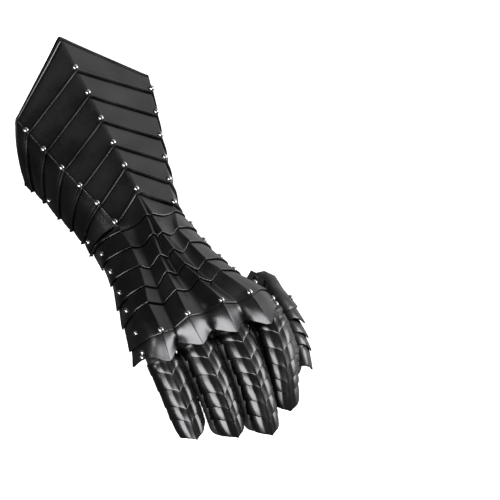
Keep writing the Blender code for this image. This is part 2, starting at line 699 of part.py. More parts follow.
def build_fingers():
    lines = []
    for name, root, turn, roll, bend_root, bend_tip, half_root, half_tip, shares in FINGERS:
        points = [p * FINGER_LENGTH for p in shares]
        halves = (half_root * KNUCKLE_HALF, half_tip * KNUCKLE_HALF)
        start = hand_place(*root) - (0.0, 0.0, PLATE_DROP)
        line = finger_line(start, turn, roll, bend_root, bend_tip, points[-1])
        scales(name, line, points, halves, FIRST_SCALE)
        lines.append((name, line, halves))
    return lines


def build_thumb():
    centre, axis, down, normal, out, rise = hinge_frame()
    under = STEEL * 1.5 + GAP + BELL_UNDER
    first = centre + out * BELL_AWAY - rise * under
    drop = unit(THUMB_UP) * THUMB_DROP
    knuckle = hand_place(*THUMB_LINE[1]) - drop
    leave = unit(out + unit(knuckle - first))
    line = [first, first + leave * HINGE_LEAF] + [hand_place(*p) - drop for p in THUMB_LINE[1:]]
    thumb = Line(line, [rise, rise] + [unit(THUMB_UP)] * (len(line) - 2))
    bell_end = BELL_END * thumb.length
    places, wide, depths = zip(*BELL_WIDTHS)

    def bell_half(a):
        return float(np.interp(a / bell_end, places, wide)) * KNUCKLE_HALF

    def bell_deep(a):
        return float(np.interp(a / bell_end, places, depths))

    def bell_lift(run):
        return BELL_LIFT + (BELL_LIFT_END - BELL_LIFT) * run / bell_end

    keeled_plate("thumb_bell", thumb, 0.0, bell_end, BELL_START, bell_half, bell_lift,
                 BELL_SECTION, [0.0, 0.1, 0.5, 1.0], 1.0, [bell_end - BELL_RIVET], deep_at=bell_deep,
                 steps=BELL_STEPS)
    points = [p * thumb.length for p in THUMB_POINTS]
    scales("thumb", thumb, points, thumb_halves(), THUMB_FIRST * thumb.length)
    return thumb


def stand_on_origin():
    """Moves everything so that the origin is at the bottom centre of the whole part."""
    graph = bpy.context.evaluated_depsgraph_get()
    points = []
    for obj in bpy.data.objects:
        if obj.hide_render:
            continue
        mesh = obj.evaluated_get(graph).to_mesh()
        points += [obj.matrix_world @ v.co for v in mesh.vertices]
    low = [min(p[i] for p in points) for i in range(3)]
    high = [max(p[i] for p in points) for i in range(3)]
    middle = ((low[0] + high[0]) / 2, (low[1] + high[1]) / 2, low[2])
    for obj in bpy.data.objects:
        obj.location = [-m for m in middle]


clear_scene()
build_cuff()
build_back()
finger_lines = build_fingers()
thumb_line = build_thumb()
build_hinge()
build_straps()
build_glove(finger_lines, thumb_line)
stand_on_origin()
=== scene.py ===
# Looks of an armoured gauntlet for a right hand: blackened steel plates over a black leather glove.
# It lies palm down. +X is the thumb side, +Y runs up the forearm, +Z is up.
import math

import bpy
import numpy as np
from mathutils import Matrix, Vector

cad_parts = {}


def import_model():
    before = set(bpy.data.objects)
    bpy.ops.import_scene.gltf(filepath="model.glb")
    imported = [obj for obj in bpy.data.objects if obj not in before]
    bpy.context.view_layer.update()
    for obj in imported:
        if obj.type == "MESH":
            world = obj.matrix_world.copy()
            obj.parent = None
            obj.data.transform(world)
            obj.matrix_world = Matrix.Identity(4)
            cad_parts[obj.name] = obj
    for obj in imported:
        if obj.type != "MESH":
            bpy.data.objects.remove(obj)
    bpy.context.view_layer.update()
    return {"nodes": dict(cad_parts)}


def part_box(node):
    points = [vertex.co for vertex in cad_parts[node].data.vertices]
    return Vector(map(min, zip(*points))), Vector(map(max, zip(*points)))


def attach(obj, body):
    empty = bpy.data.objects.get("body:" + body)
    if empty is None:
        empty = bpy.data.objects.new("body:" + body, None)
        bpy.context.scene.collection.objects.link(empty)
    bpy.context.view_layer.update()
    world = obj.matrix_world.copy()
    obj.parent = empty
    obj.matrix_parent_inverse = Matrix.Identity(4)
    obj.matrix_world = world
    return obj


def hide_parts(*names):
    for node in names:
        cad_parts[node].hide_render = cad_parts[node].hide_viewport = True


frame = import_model()

# Sizes of the armour, in metres
CUFF_LENGTH = 0.138
MOUTH_HALF = 0.058
CUFF_DEPTH = 0.052
WRIST_LENGTH = 0.0246
BACK_LENGTH = 0.091
KNUCKLE_HALF = 0.040
KNUCKLE_RISE = 0.022
FINGER_LENGTH = 0.089
STEEL = 0.0012
LAP_STEP = 0.00155
LEATHER = 0.0018
RIVET_RADIUS = 0.0024
RIVET_HEIGHT = 0.0019
RIVET_SINK = 0.0006

# How far each plate runs on under its neighbour, as a share of one seam spacing
CUFF_LAP_BACK = 0.22
CUFF_LAP_FRONT = 0.21
HAND_LAP = 0.22

# Seams of the cuff from the mouth to the wrist. ridge_y is a share of CUFF_LENGTH, places across and
# edge_back are shares of MOUTH_HALF, heights and low_back are shares of CUFF_DEPTH.
# ridge_y, ridge_z, edge_x, edge_back, edge_z, low_x, low_back, low_z
CUFF_SEAMS = [
    (1.010, 0.000, 0.985, 0.825, -0.235, 0.965, 0.730, -0.990),
    (0.800, 0.000, 0.920, 0.535, -0.235, 0.905, 0.600, -0.960),
    (0.635, 0.000, 0.820, 0.481, -0.217, 0.840, 0.454, -0.915),
    (0.466, 0.000, 0.717, 0.419, -0.195, 0.775, 0.419, -0.860),
    (0.305, 0.000, 0.613, 0.366, -0.160, 0.715, 0.321, -0.800),
    (0.157, 0.000, 0.515, 0.336, -0.133, 0.660, 0.228, -0.750),
    (0.000, 0.000, 0.420, 0.305, -0.106, 0.635, 0.112, -0.715),
]
# Points down the side wall of the cuff: share of the way down, share of SIDE_BULGE
SIDE_SHAPE = [(0.72, 0.9), (0.34, 1.0)]
SIDE_BULGE = 0.0022
TURN_IN = 0.010
TURN_DOWN = 0.0012
RIDGE_FLAT = 0.0006

# Plate edges across the back of the hand, from the wrist to the finger roots.
# Each point is across, along and up, as shares of KNUCKLE_HALF, BACK_LENGTH and KNUCKLE_RISE.
# little_low, little_side, little_top, ridge_1, ridge_2, ridge_3, ridge_4, thumb_top, thumb_side, thumb_low
HAND_EDGES = [
    [(-0.980, 0.026, -1.50), (-0.960, 0.026, -0.91), (-0.800, 0.026, -0.50), (-0.590, 0.026, -0.27),
     (-0.060, -0.013, 0.05), (0.050, 0.000, 0.07), (0.580, 0.011, -0.26),
     (0.720, 0.016, -0.55), (0.855, 0.026, -0.91), (0.910, 0.026, -1.55)],
    [(-1.020, 0.211, -1.12), (-1.030, 0.204, -0.70), (-0.860, 0.204, -0.36), (-0.600, 0.204, -0.14),
     (-0.150, 0.185, 0.20), (0.020, 0.204, 0.26), (0.450, 0.178, -0.09),
     (0.690, 0.181, -0.34), (0.910, 0.191, -0.80), (0.975, 0.204, -1.32)],
    [(-1.080, 0.402, -0.86), (-1.085, 0.402, -0.47), (-0.930, 0.402, -0.16), (-0.675, 0.402, 0.05),
     (-0.265, 0.405, 0.41), (0.015, 0.394, 0.45), (0.490, 0.347, 0.09),
     (0.770, 0.356, -0.23), (1.015, 0.376, -0.77), (1.085, 0.389, -1.27)],
    [(-1.180, 0.630, -0.90), (-1.150, 0.620, -0.39), (-1.010, 0.609, 0.02), (-0.800, 0.604, 0.23),
     (-0.325, 0.576, 0.55), (0.050, 0.566, 0.60), (0.565, 0.566, 0.34),
     (0.880, 0.566, 0.00), (1.130, 0.576, -0.57), (1.205, 0.587, -1.09)],
    [(-1.250, 0.798, -0.91), (-1.210, 0.785, -0.27), (-1.090, 0.771, 0.16), (-0.925, 0.765, 0.37),
     (-0.365, 0.771, 0.705), (0.150, 0.741, 0.75), (0.700, 0.708, 0.48),
     (0.990, 0.719, 0.16), (1.215, 0.729, -0.34), (1.295, 0.741, -0.91)],
    [(-1.325, 1.010, -0.91), (-1.275, 1.045, -0.18), (-1.160, 1.065, 0.34), (-1.010, 1.080, 0.60),
     (-0.430, 1.040, 0.90), (0.305, 1.035, 1.00), (0.970, 1.035, 0.80),
     (1.250, 0.985, 0.45), (1.490, 0.960, -0.09), (1.590, 0.930, -0.55)],
    [(-1.360, 1.137, -1.09), (-1.325, 1.167, -0.36), (-1.225, 1.213, 0.05), (-1.050, 1.305, 0.27),
     (-0.340, 1.282, 0.55), (0.375, 1.282, 0.64), (1.150, 1.292, 0.41),
     (1.375, 1.167, 0.14), (1.575, 1.114, -0.27), (1.675, 1.092, -0.64)],
]
# Depth of the hollows between the ridges and how far their edges run past the ridges, in metres
HOLLOW_DEPTH = [0.0012, 0.0022, 0.0032, 0.0038, 0.0042, 0.0046, 0.0050]
EDGE_RUN = [0.0020, 0.0030, 0.0045, 0.0055, 0.0045, 0.0010, -0.0135]
# How far each of those hollows is a plain fold, from 0, round, to 1, folded
HOLLOW_FOLD = [0.0, 0.0, 0.3, 0.5, 0.6, 0.7, 1.0]
# The narrow hollow between the two middle ridges, as a share of the others
NARROW_HOLLOW = 0.8
QUARTERS = (0.25, 0.5, 0.75)

# Fingers: root on the keel line as across, along and up, turn to the side, roll to the little side, bend at
# the root and at the tip in degrees, half width at the root and at the tip as shares of KNUCKLE_HALF, and
# the points of the plates along the keel as shares of FINGER_LENGTH
FINGERS = [
    ("little", (-1.060, 1.301, 0.140), 7, 13, 20, 36, 0.280, 0.252, [0.103, 0.262, 0.424, 0.551, 0.703]),
    ("ring", (-0.340, 1.279, 0.477), 9, 7, 17, 45, 0.300, 0.266,
     [0.118, 0.287, 0.461, 0.600, 0.725, 0.867]),
    ("middle", (0.455, 1.279, 0.540), 6, 7, 15, 52, 0.298, 0.262,
     [0.090, 0.250, 0.393, 0.512, 0.656, 0.805, 0.955]),
    ("index", (1.300, 1.290, 0.290), -1, 5, 22, 60, 0.310, 0.270,
     [0.080, 0.235, 0.385, 0.525, 0.640, 0.790]),
]
# Half section of a finger plate from the keel outwards: across, down, as shares of the half width
SCALE_SECTION = [(0.00, 0.00), (0.20, 0.10), (0.42, 0.17), (0.68, 0.36), (0.90, 0.66), (1.00, 1.00)]
# Edge of a finger plate: place across, share of the point's length
SCALE_EDGE = [(0.00, 1.00), (0.20, 0.60), (0.40, 0.30), (0.52, 0.24), (0.62, 0.06), (0.80, 0.00),
              (1.00, 0.14)]
SCALE_POINT = 0.0062
CAP_POINT = 0.0036
CAP_NARROW = 0.76
THUMB_NARROW = 0.90
SCALE_LAP = 0.0042
PLATE_DROP = 0.0022
FIRST_SCALE = -0.0055
# How much of a plate's own up direction its thickness follows
SCALE_LEAN = 1.15
# Share by which a plate's lift over its neighbour closes at the sides
SIDE_CLOSE = 0.70
# Swell of a finger plate along its length, past the share of it that the plate before covers, and the
# factor that brings the swell to 1 between the keel and the sides
PLATE_SWELL = 0.00055
SWELL_START = 0.25
SWELL_ACROSS = 2.6
SECTION_STEPS = 7

# Keel line of the thumb armour: its aim from the hinge, then its points, as across, along and up
THUMB_LINE = [
    (1.800, 0.851, -0.773), (2.100, 0.960, -0.795), (2.200, 1.092, -0.932), (2.212, 1.213, -1.045),
    (2.208, 1.345, -1.182), (2.188, 1.455, -1.341), (2.087, 1.598, -1.682),
]
THUMB_UP = (0.85, 0.0, 0.53)
THUMB_DROP = 0.0042
THUMB_POINTS = [0.610, 0.735, 0.842, 1.000]
BELL_END = 0.440
THUMB_FIRST = 0.350
THUMB_HALF = (0.320, 0.270)
BELL_AWAY = 0.0062
BELL_RIVET = 0.0065
BELL_POINT = -0.002
BELL_LIFT = 0.0005
BELL_LIFT_RISE = 0.0025
BELL_UNDER = 0.0017
# Bell shaped plate over the root of the thumb: place along it, half width as a share of KNUCKLE_HALF,
# share of its full depth
BELL_WIDTHS = [(0.0, 0.190, 0.60), (0.35, 0.250, 0.90), (0.7, 0.300, 1.00), (1.0, 0.335, 1.00)]
BELL_SECTION = [(0.00, 0.00), (0.45, 0.12), (0.82, 0.45), (1.00, 0.95)]
BELL_EDGE = [(0.0, 0.0), (0.45, 0.1), (0.82, 0.5), (1.0, 1.0)]

# Hinge of the thumb
HINGE_PLACE = 11.45
HINGE_SPAN = 0.3
HINGE_LEAF = 0.0095
HINGE_OUT = 0.0032
LEAF_LIFT = 0.0005
GAP = 0.00035

# Rivets: lames that carry the straps' rivets, their columns, the place of the side rivets on a hand lame,
# the row over the knuckles and the pairs at the ends of the knuckle plate
STRAP_LAMES = (3, 6)
STRAP_COLUMNS = (1.5, 16.5)
SIDE_COLUMNS = (2, 16)
SIDE_RIVET = 0.55
KNUCKLE_RIVETS = 11.9
END_RIVETS = (12.45, 12.8)

# Wrist of the glove: place along from the last cuff rivet as a share of CUFF_LENGTH,
# half width as a share of MOUTH_HALF, height of its middle and half height as shares of CUFF_DEPTH
GLOVE_WRIST = [
    (0.290, 0.569, -0.442, 0.317),
    (0.000, 0.491, -0.375, 0.288),
    (-0.196, 0.500, -0.375, 0.288),
]
# Hand of the glove up to the finger roots, in shares of the hand's sizes
# along, across, up, half_width, half_height
GLOVE_HAND = [
    (0.389, 0.000, -0.818, 0.887, 0.705),
    (0.774, 0.025, -0.386, 1.038, 0.705),
    (1.026, 0.075, -0.068, 1.137, 0.614),
    (1.150, 0.050, -0.360, 1.140, 0.385),
]
GLOVE_POWER = 2.5
HAND_SIDES = 64
HAND_STEPS = 14
INSIDE_END = 12
FINGER_TUBE_SIDES = 32
FINGER_RINGS = 6
FINGER_STEPS = 16
TIP_ANGLES = (20, 38, 54, 68, 79, 87)
TIP_POWER = 0.9
FINGER_DEPTH = 1.20
FINGER_HEIGHT = 0.84
FINGER_BACK = 0.75
# How far the leather of each finger reaches to the little side and to the thumb side of its keel line, as
# shares of the half width of its plates
FINGER_SIDES = {"little": (1.02, 1.42), "ring": (1.30, 1.42), "middle": (1.42, 1.35), "index": (1.42, 1.02),
                "thumb": (1.75, 0.98)}
TIP_REACH = {"thumb": 0.0060}
# Leather of the thumb between the palm and its armour: across, along, up, radius as a share of KNUCKLE_HALF
THUMB_ROOT = [(0.350, 0.235, -1.068, 0.287), (0.925, 0.560, -1.600, 0.295), (1.430, 0.830, -1.850, 0.275)]
FINGER_JOIN = 0.0120
THUMB_JOIN = 0.0300
FOLD_DEPTH = 0.0005
FOLD_STEP = 0.0052
HAND_FOLD_STEP = 0.011
STRAPS = [("strap_forearm", 2.15, 2.85), ("strap_wrist", 5.15, 5.85)]
STRAP_THICK = 0.0020
STRAP_TURN = 1.2
STRAP_CORNER = 1.35
# Round edge of a strap: distance from the edge in seam spacings, share of the thickness taken off each face
STRAP_EDGE = [(0.0, 0.5), (0.012, 0.12), (0.03, 0.0)]

# Fine form: round of a ridge or an edge, bead and groove along the edge of a cuff plate
RIDGE_ROUND = 0.00045
TURN_ROUND = 0.0012
BEAD_PLACE = 0.0014
BEAD_HALF = 0.0013
BEAD_RISE = 0.00080
# Swell of each cuff lame between its seams
CUFF_SWELL = 0.0007
GROOVE_PLACE = 0.0031
GROOVE_HALF = 0.0009
GROOVE_DEPTH = 0.00020

# The camera: the picture's right, its up and the way to the viewer, in the frame's own axes
PICTURE_RIGHT = Vector((0.87, -0.43, 0.25))
PICTURE_UP = Vector((0.29, 0.85, 0.44))
PICTURE_SIZE = 0.3843
CAMERA_AWAY = 12.0
# From the last rivet of the ridge to the middle of the picture, to the right and up
PICTURE_MIDDLE = (0.0882, -0.0459)


def unit(v):
    v = np.asarray(v, float)
    return v / np.linalg.norm(v)


# The base surface of the whole back of the armour: one row of points for each seam

def cuff_row(k):
    ridge_y, ridge_z, edge_x, edge_back, edge_z, low_x, low_back, low_z = CUFF_SEAMS[k]
    ridge = np.array((0.0, ridge_y * CUFF_LENGTH, ridge_z * CUFF_DEPTH))
    half = []
    for side in (-1, 1):
        edge = np.array((side * edge_x * MOUTH_HALF, ridge[1] - edge_back * MOUTH_HALF,
                         edge_z * CUFF_DEPTH))
        low = np.array((side * low_x * MOUTH_HALF, edge[1] - low_back * CUFF_DEPTH, low_z * CUFF_DEPTH))
        out = np.array((side * SIDE_BULGE, 0.0, 0.0))
        turn = low + np.array((-side * TURN_IN, 0.0, -TURN_DOWN))
        wall = [edge + (low - edge) * down + out * bulge for down, bulge in SIDE_SHAPE]
        half.append([turn, low] + wall + [edge])
    left, right = half
    flat = np.array((RIDGE_FLAT, 0.0, 0.0))
    row = list(left)
    row += [left[-1] + (ridge - left[-1]) * f for f in QUARTERS]
    row += [ridge - flat, ridge, ridge + flat]
    row += [right[-1] + (ridge - right[-1]) * f for f in QUARTERS[::-1]]
    row += right[::-1]
    return np.array(row)


def hollow(a, b, depth, run, fold, shares):
    """Points between two ridges, sunk in the middle and run on towards the fingers."""
    points = []
    for f in shares:
        sag = (1.0 - fold) * math.sin(math.pi * f) + fold * (1.0 - abs(2 * f - 1))
        points.append(a + (b - a) * f + np.array((0.0, -run * sag, -depth * sag)))
    return points


def hand_place(across, along, up):
    """A point on the hand from its shares of the hand's sizes."""
    return np.array((across * KNUCKLE_HALF, -WRIST_LENGTH - along * BACK_LENGTH, up * KNUCKLE_RISE))


def hand_row(k):
    p = [hand_place(*q) for q in HAND_EDGES[k]]
    depth, run, fold = HOLLOW_DEPTH[k], EDGE_RUN[k], HOLLOW_FOLD[k]
    left_turn = p[0] + np.array((TURN_IN * 0.5, 0.0, -TURN_DOWN))
    right_turn = p[9] + np.array((-TURN_IN * 0.5, 0.0, -TURN_DOWN))
    row = [left_turn] + p[0:4]
    row += hollow(p[3], p[4], depth, run, fold, QUARTERS)
    row += [p[4]] + hollow(p[4], p[5], depth * NARROW_HOLLOW, run * NARROW_HOLLOW, fold, (0.5,)) + [p[5]]
    row += hollow(p[5], p[6], depth, run, fold, QUARTERS)
    row += [p[6]] + p[7:10] + [right_turn]
    return np.array(row)


ROWS = np.array([cuff_row(k) for k in range(7)] + [hand_row(k) for k in range(7)])
RIDGE_COLUMN = 9
LITTLE_EDGE, THUMB_EDGE = 4, 14


def curve_through(points, steps):
    """Points on a smooth curve through the given ones, with some steps for each stretch."""
    points = [np.asarray(p, float) for p in points]
    ends = [points[0] * 2 - points[1]] + points + [points[-1] * 2 - points[-2]]
    out = []
    for i in range(1, len(ends) - 2):
        p0, p1, p2, p3 = ends[i - 1:i + 3]
        for j in range(steps):
            t = j / steps
            out.append(0.5 * (2 * p1 + (p2 - p0) * t + (2 * p0 - 5 * p1 + 4 * p2 - p3) * t ** 2
                              + (3 * p1 - p0 - 3 * p2 + p3) * t ** 3))
    out.append(points[-1])
    return out


# Stretches between the creases of a section: first column, last column, steps for each column, round of
# the crease
STRETCHES = [(0, 1, 3, TURN_ROUND), (1, 4, 6, RIDGE_ROUND), (4, 8, 6, RIDGE_ROUND), (8, 10, 4, RIDGE_ROUND),
             (10, 14, 6, RIDGE_ROUND), (14, 17, 6, TURN_ROUND), (17, 18, 3, 0.0)]
ROUND_STEPS = 4


def dense(row):
    """A section with many points; its creases stay sharp. Also gives the place of each crease."""
    points, creases = [], []
    for first, last, steps, _ in STRETCHES:
        stretch = curve_through(row[first:last + 1], steps)
        if points:
            stretch = stretch[1:]
        points += stretch
        creases.append(len(points) - 1)
    return np.array(points), creases[:-1]


DENSE_ROWS = np.array([dense(row)[0] for row in ROWS])
CREASES = dense(ROWS[0])[1]
CREASE_ROUNDS = [s[3] for s in STRETCHES[:-1]]
TURN_STEPS = STRETCHES[0][2]


def dense_place(column):
    """Place of a control column in a section with many points."""
    place = 0
    for first, last, steps, _ in STRETCHES:
        if column <= last:
            return place + int(round((column - first) * steps))
        place += (last - first) * steps
    return place


def base_row(s):
    """Straight between the seams of the cuff and a smooth curve through the plates of the hand."""
    k = int(min(max(math.floor(s), 0), len(ROWS) - 2))
    t = s - k
    if k < 6:
        return DENSE_ROWS[k] + (DENSE_ROWS[k + 1] - DENSE_ROWS[k]) * t
    p0, p1, p2 = DENSE_ROWS[k - 1], DENSE_ROWS[k], DENSE_ROWS[k + 1]
    p3 = DENSE_ROWS[k + 2] if k + 2 < len(DENSE_ROWS) else p2 * 2 - p1
    return 0.5 * (2 * p1 + (p2 - p0) * t + (2 * p0 - 5 * p1 + 4 * p2 - p3) * t ** 2
                  + (3 * p1 - p0 - 3 * p2 + p3) * t ** 3)


def row_normals(s):
    """Outward normals of the section at seam place s, lengthened at the creases."""
    here = base_row(s)
    along = base_row(s + 0.06) - base_row(s - 0.06)
    across = here[1:] - here[:-1]
    faces = np.cross(across, -(along[1:] + along[:-1]))
    faces /= np.linalg.norm(faces, axis=1)[:, None]
    first = np.vstack([faces[:1], faces])
    second = np.vstack([faces, faces[-1:]])
    mean = first + second
    mean /= np.linalg.norm(mean, axis=1)[:, None]
    share = np.maximum(np.sum(mean * first, axis=1), 0.5)
    return here, mean / share[:, None]


def round_creases(points):
    """Replaces each crease of a section by a small curve."""
    parts, last = [], 0
    for place, size in zip(CREASES, CREASE_ROUNDS):
        corner = points[place]
        before, after = points[place - 1] - corner, points[place + 1] - corner
        a = corner + before * min(size / np.linalg.norm(before), 0.45)
        b = corner + after * min(size / np.linalg.norm(after), 0.45)
        parts.append(points[last:place])
        for j in range(ROUND_STEPS + 1):
            t = j / ROUND_STEPS
            parts.append(((1 - t) ** 2 * a + 2 * t * (1 - t) * corner + t ** 2 * b)[None])
        last = place + 1
    parts.append(points[last:])
    return np.vstack(parts)


def section(s, lift):
    here, normals = row_normals(s)
    return round_creases(here + normals * lift)


# Making meshes

def new_object(name, verts, faces, mats, smooth_angle=40.0):
    mesh = bpy.data.meshes.new(name)
    mesh.from_pydata([tuple(float(a) for a in v) for v in verts], [], faces)
    for mat in mats:
        mesh.materials.append(mat)
    mesh.validate()
    mesh.shade_smooth()
    mesh.set_sharp_from_angle(angle=math.radians(smooth_angle))
    obj = bpy.data.objects.new(name, mesh)
    bpy.context.collection.objects.link(obj)
    return obj


class Shape:
    """Collects the vertices and faces of one piece, with a material number for each face."""

    def __init__(self):
        self.verts, self.faces, self.mats = [], [], []

    def add(self, verts, faces, mat=0):
        first = len(self.verts)
        self.verts += [np.asarray(v, float) for v in verts]
        self.faces += [tuple(first + i for i in f) for f in faces]
        self.mats += [mat] * len(faces)

    def build(self, name, mats, offset=None, smooth_angle=40.0):
        shift = SHIFT if offset is None else offset
        obj = new_object(name, [v + shift for v in self.verts], self.faces, mats, smooth_angle)
        for poly, mat in zip(obj.data.polygons, self.mats):
            poly.material_index = mat
        return obj


def loop_faces(rows, columns):
    """Faces of a closed plate made of rows that run round its thickness, with its two ends closed."""
    faces = []
    for r in range(rows):
        n = (r + 1) % rows
        for c in range(columns - 1):
            faces.append((r * columns + c, n * columns + c, n * columns + c + 1, r * columns + c + 1))
    half = rows // 2
    for c, flip in ((0, False), (columns - 1, True)):
        for i in range(half - 1):
            a, b = i, i + 1
            d, e = rows - 2 - i, rows - 1 - i
            quad = (a * columns + c, e * columns + c, d * columns + c, b * columns + c)
            faces.append(quad[::-1] if flip else quad)
    return faces


def dome(shape, centre, normal, radius=RIVET_RADIUS, height=RIVET_HEIGHT, mat=1):
    """A round rivet head."""
    n = unit(normal)
    u = unit(np.cross(n, (0.31, 0.87, 0.41)))
    v = np.cross(n, u)
    sides, rings = 20, 6
    verts = [centre + n * -RIVET_SINK + radius * (u * math.cos(a) + v * math.sin(a))
             for a in (2 * math.pi * k / sides for k in range(sides))]
    for r in range(rings):
        ang = math.pi / 2 * r / rings
        for k in range(sides):
            a = 2 * math.pi * k / sides
            out = radius * math.cos(ang) * (u * math.cos(a) + v * math.sin(a))
            verts.append(centre + n * height * math.sin(ang) + out)
    verts.append(centre + n * height)
    faces = []
    for r in range(rings):
        for k in range(sides):
            a, b = r * sides + k, r * sides + (k + 1) % sides
            faces.append((a, b, b + sides, a + sides))
    top, last = len(verts) - 1, rings * sides
    faces += [(last + k, last + (k + 1) % sides, top) for k in range(sides)]
    faces.append(tuple(range(sides - 1, -1, -1)))
    shape.add(verts, faces, mat)


# Round edge of a plate: distance from the edge, share of the thickness at which its outer face lies
EDGE_PROFILE = [(0.00085, 1.00), (0.00042, 0.95), (0.00014, 0.80), (0.0, 0.50)]
# Shares of the thickness at which the inner face lies in the last two rows before the edge
EDGE_UNDER = [0.06, 0.22]
# The same two faces at the edge of the cuff's mouth
MOUTH_FACES = (0.75, 0.25)
# Distances from the edge of a beaded plate at which its relief is read
RELIEF = [0.0060, 0.0046, 0.0040, 0.0036, 0.0031, 0.0028, 0.0025, 0.0022, 0.0018, 0.0014, 0.0011, 0.0009]
# Distance of the last row before the round edge of a plain plate, and the share of the round edge's depth
# that a finger plate's other rows keep clear of it
PLAIN_EDGE = 0.0015
EDGE_CLEAR = 1.3


def edge_relief(t):
    """Height of the bead and the groove at a distance from the edge."""
    bead = max(0.0, 1 - ((t - BEAD_PLACE) / BEAD_HALF) ** 2)
    groove = max(0.0, 1 - ((t - GROOVE_PLACE) / GROOVE_HALF) ** 2)
    return BEAD_RISE * math.sqrt(bead) * bead ** 0.25 - GROOVE_DEPTH * groove


def seam_spacing(k):
    """Length along the surface of one step of s at seam k."""
    a, b = base_row(k - 0.05), base_row(k + 0.05)
    return float(np.mean(np.linalg.norm(b - a, axis=1))) / 0.1


def band(start, end, turned, rivets, low=None, beads=False, mouth=False, rows=14):
    """One plate between two places along the surface; rivets are (place, column)."""
    low = start if low is None else low
    length = seam_spacing(end)
    first_seam = math.ceil(start)

    def lift(s):
        free = min(max((s - first_seam) / (end - first_seam), 0.0), 1.0)
        swell = CUFF_SWELL * 4 * free * (1.0 - free) if beads else 0.0
        return LAP_STEP * (s - low) + swell

    near = [(t, 1.0) for t in (RELIEF if beads else [PLAIN_EDGE])] + EDGE_PROFILE
    last = end - near[0][0] / length
    first = start
    outer = [(start, 0.0, 1.0)]
    if mouth:
        spacing = seam_spacing(start + 0.5)
        begin = EDGE_PROFILE[2::-1] + [(t, 1.0) for t in RELIEF[::-1]]
        outer = [(start + t / spacing, edge_relief(t), 1.0) for t, share in begin]
        first = outer[-1][0]
    outer += [(first + (last - first) * i / rows, 0.0, 1.0) for i in range(1, rows)]
    outer += [(end - t / length, edge_relief(t) if beads else 0.0, share) for t, share in near]
    grid = [section(s, lift(s) + STEEL * share + extra * share) for s, extra, share in outer]
    inner = [section(s, lift(s)) for s, extra, share in outer]
    if mouth:
        edge = outer[0][0]
        grid[0], inner[0] = [section(edge, lift(edge) + STEEL * share) for share in MOUTH_FACES]
    for i, share in zip((-2, -1), EDGE_UNDER):
        inner[i] = section(outer[i][0], lift(outer[i][0]) + STEEL * share)
    grid = np.array(grid + inner[::-1])
    if not turned:
        grid = grid[:, TURN_STEPS + 1:-TURN_STEPS - 1]
    rows_all, columns = grid.shape[:2]
    shape = Shape()
    shape.add(grid.reshape(-1, 3), loop_faces(rows_all, columns))
    for s, c in rivets:
        here, normals = row_normals(s)
        i = dense_place(c)
        dome(shape, here[i] + normals[i] * (lift(s) + STEEL), normals[i])
    return shape


def cuff_plates():
    out = {}
    for k in range(1, 7):
        start = 0.0 if k == 1 else k - 1 - CUFF_LAP_BACK
        rivets = [(float(k), c) for c in (LITTLE_EDGE, RIDGE_COLUMN, THUMB_EDGE)]
        if k in STRAP_LAMES:
            rivets += [(k - 0.5, c) for c in STRAP_COLUMNS]
        out["cuff_lame_%d" % k] = band(start, k + CUFF_LAP_FRONT, k < 6, rivets, k - 1 - CUFF_LAP_BACK,
                                       beads=True, mouth=k == 1)
    out["cuff_lame_7"] = band(6 - CUFF_LAP_BACK, 7.0, False, [])
    return out


def hand_plates():
    out = {}
    for k in range(5):
        rivets = [(7 + SIDE_RIVET + k, c) for c in SIDE_COLUMNS]
        if k == 4:
            rivets += [(KNUCKLE_RIVETS, c) for c in (4, 8, 10, 14)]
        out["hand_lame_%d" % (k + 1)] = band(7 + k - HAND_LAP, 8.0 + k, False, rivets)
    rivets = [(s, c) for c in SIDE_COLUMNS for s in END_RIVETS]
    out["knuckle_plate"] = band(12 - HAND_LAP, 13.0, False, rivets)
    return out


class Line:
    """A keel line with a side and an up direction at each place along it."""

    def __init__(self, points, ups):
        self.points = np.array(points, float)
        steps = np.linalg.norm(np.diff(self.points, axis=0), axis=1)
        self.places = np.concatenate([[0.0], np.cumsum(steps)])
        self.ups = np.array(ups, float)
        self.length = float(self.places[-1])

    def frame(self, a):
        reach = 0.004

        def at(x):
            inside = min(max(x, 0.0), self.length)
            point = np.array([np.interp(inside, self.places, self.points[:, i]) for i in range(3)])
            if x < 0.0:
                point += unit(self.points[1] - self.points[0]) * x
            if x > self.length:
                point += unit(self.points[-1] - self.points[-2]) * (x - self.length)
            return point

        forward = unit(at(a + reach) - at(a - reach))
        up = np.array([np.interp(a, self.places, self.ups[:, i]) for i in range(3)])
        side = unit(np.cross(up, forward))
        return at(a), forward, side, unit(np.cross(forward, side))


def finger_line(root, turn, roll, bend_root, bend_tip, length):
    """Bends evenly from the root to the tip."""
    turn, roll = math.radians(turn), math.radians(roll)
    side = np.array((math.cos(turn), math.sin(turn), 0.0))
    count = 24
    point = np.array(root, float)
    points, ups = [point.copy()], []
    for i in range(count + 1):
        bend = math.radians(bend_root + (bend_tip - bend_root) * i / count)
        level = math.cos(bend)
        forward = np.array((math.sin(turn) * level, -math.cos(turn) * level, -math.sin(bend)))
        up = np.array((math.sin(turn) * math.sin(bend), -math.cos(turn) * math.sin(bend), math.cos(bend)))
        ups.append(up * math.cos(roll) - side * math.sin(roll))
        if i < count:
            point = point + forward * length / count
            points.append(point.copy())
    return Line(points, ups)


def half_curve(pairs, steps):
    """A smooth curve through a half section; it keeps its crease at the keel."""
    return curve_through([np.array((x, z, 0.0)) for x, z in pairs], steps)


